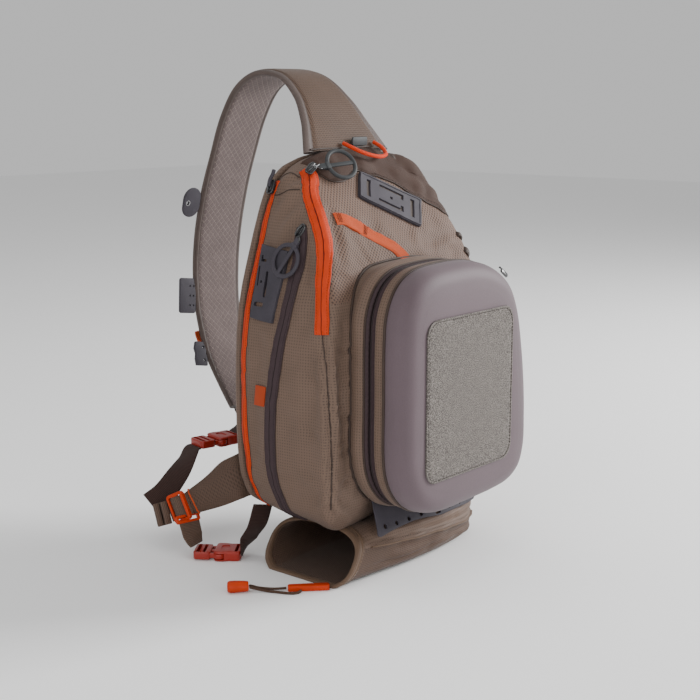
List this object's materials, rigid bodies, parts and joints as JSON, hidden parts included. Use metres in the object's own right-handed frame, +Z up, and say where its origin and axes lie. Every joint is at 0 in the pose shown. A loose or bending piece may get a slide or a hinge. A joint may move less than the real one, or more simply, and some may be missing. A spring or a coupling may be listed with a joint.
{
  "type": "fishing tackle sling bag",
  "caption": "Soft sling bag with a padded shoulder strap, moulded front pocket with a felt patch, lash plates, orange zips and an open bottle sleeve below the body.",
  "frame": {"origin": "a point on the flat underside of the bottle sleeve, under the middle of the body", "axes": "+X to the right seen from the front, -Y out of the moulded front pocket, +Y towards the back pad and the wearer, +Z up towards the shoulder strap"},
  "size_m": [0.3429, 0.3662, 0.5086],
  "materials": {
    "body_cloth": "taupe ripstop nylon",
    "yoke_cloth": "smooth coated taupe nylon",
    "pad_mesh": "padded air mesh",
    "strap_cloth": "padded mesh with a woven outer face",
    "orange_tape": "coated orange zip tape",
    "dark_tape": "dark coated zip tape",
    "dark_webbing": "woven dark webbing",
    "orange_webbing": "woven orange webbing",
    "orange_cord": "braided orange cord",
    "brown_cord": "braided brown cord",
    "felt": "grey felt",
    "pocket_foam": "moulded foam with a matt skin",
    "slate_rubber": "matt slate rubber",
    "sage_rubber": "grey-green rubber",
    "orange_plastic": "moulded orange acetal",
    "black_metal": "black painted zinc"
  },
  "bodies": {
    "root": {"body_shell": "body_cloth", "back_pad": "pad_mesh", "yoke": "yoke_cloth", "main_zip_tape": "orange_tape", "main_zip_slider": "black_metal", "main_zip_pull": "sage_rubber", "rear_zip_tape": "orange_tape", "rear_zip_slider": "black_metal", "side_zip_tape": "dark_tape", "side_zip_slider": "black_metal", "side_zip_pull": "slate_rubber", "side_lash_plate": "slate_rubber", "side_web_tab": "orange_webbing", "top_lash_plate": "slate_rubber", "gear_webbing": "orange_webbing", "cord_loop": "orange_cord", "cord_loop_tab": "sage_rubber", "pocket_gusset": "body_cloth", "pocket_zip": "dark_tape", "pocket_band": "body_cloth", "pocket_shell": "pocket_foam", "felt_patch": "felt", "pocket_zip_pull": "black_metal", "vent_tab": "slate_rubber", "bottle_sleeve": "body_cloth", "sleeve_binding": "body_cloth", "sleeve_zip_end": "orange_plastic", "pull_cord": "brown_cord", "pull_cord_return": "brown_cord", "pull_toggle": "orange_plastic", "shoulder_strap": "strap_cloth", "strap_round_tab": "slate_rubber", "strap_lash_tab": "slate_rubber", "strap_clip": "slate_rubber", "strap_end_webbing": "dark_webbing", "upper_buckle": "orange_plastic", "strap_webbing": "dark_webbing", "webbing_roll": "dark_webbing", "ladder_lock": "orange_plastic", "wing": "body_cloth", "waist_webbing": "dark_webbing", "lower_buckle": "orange_plastic", "waist_webbing_return": "dark_webbing"}
  },
  "joints": []
}
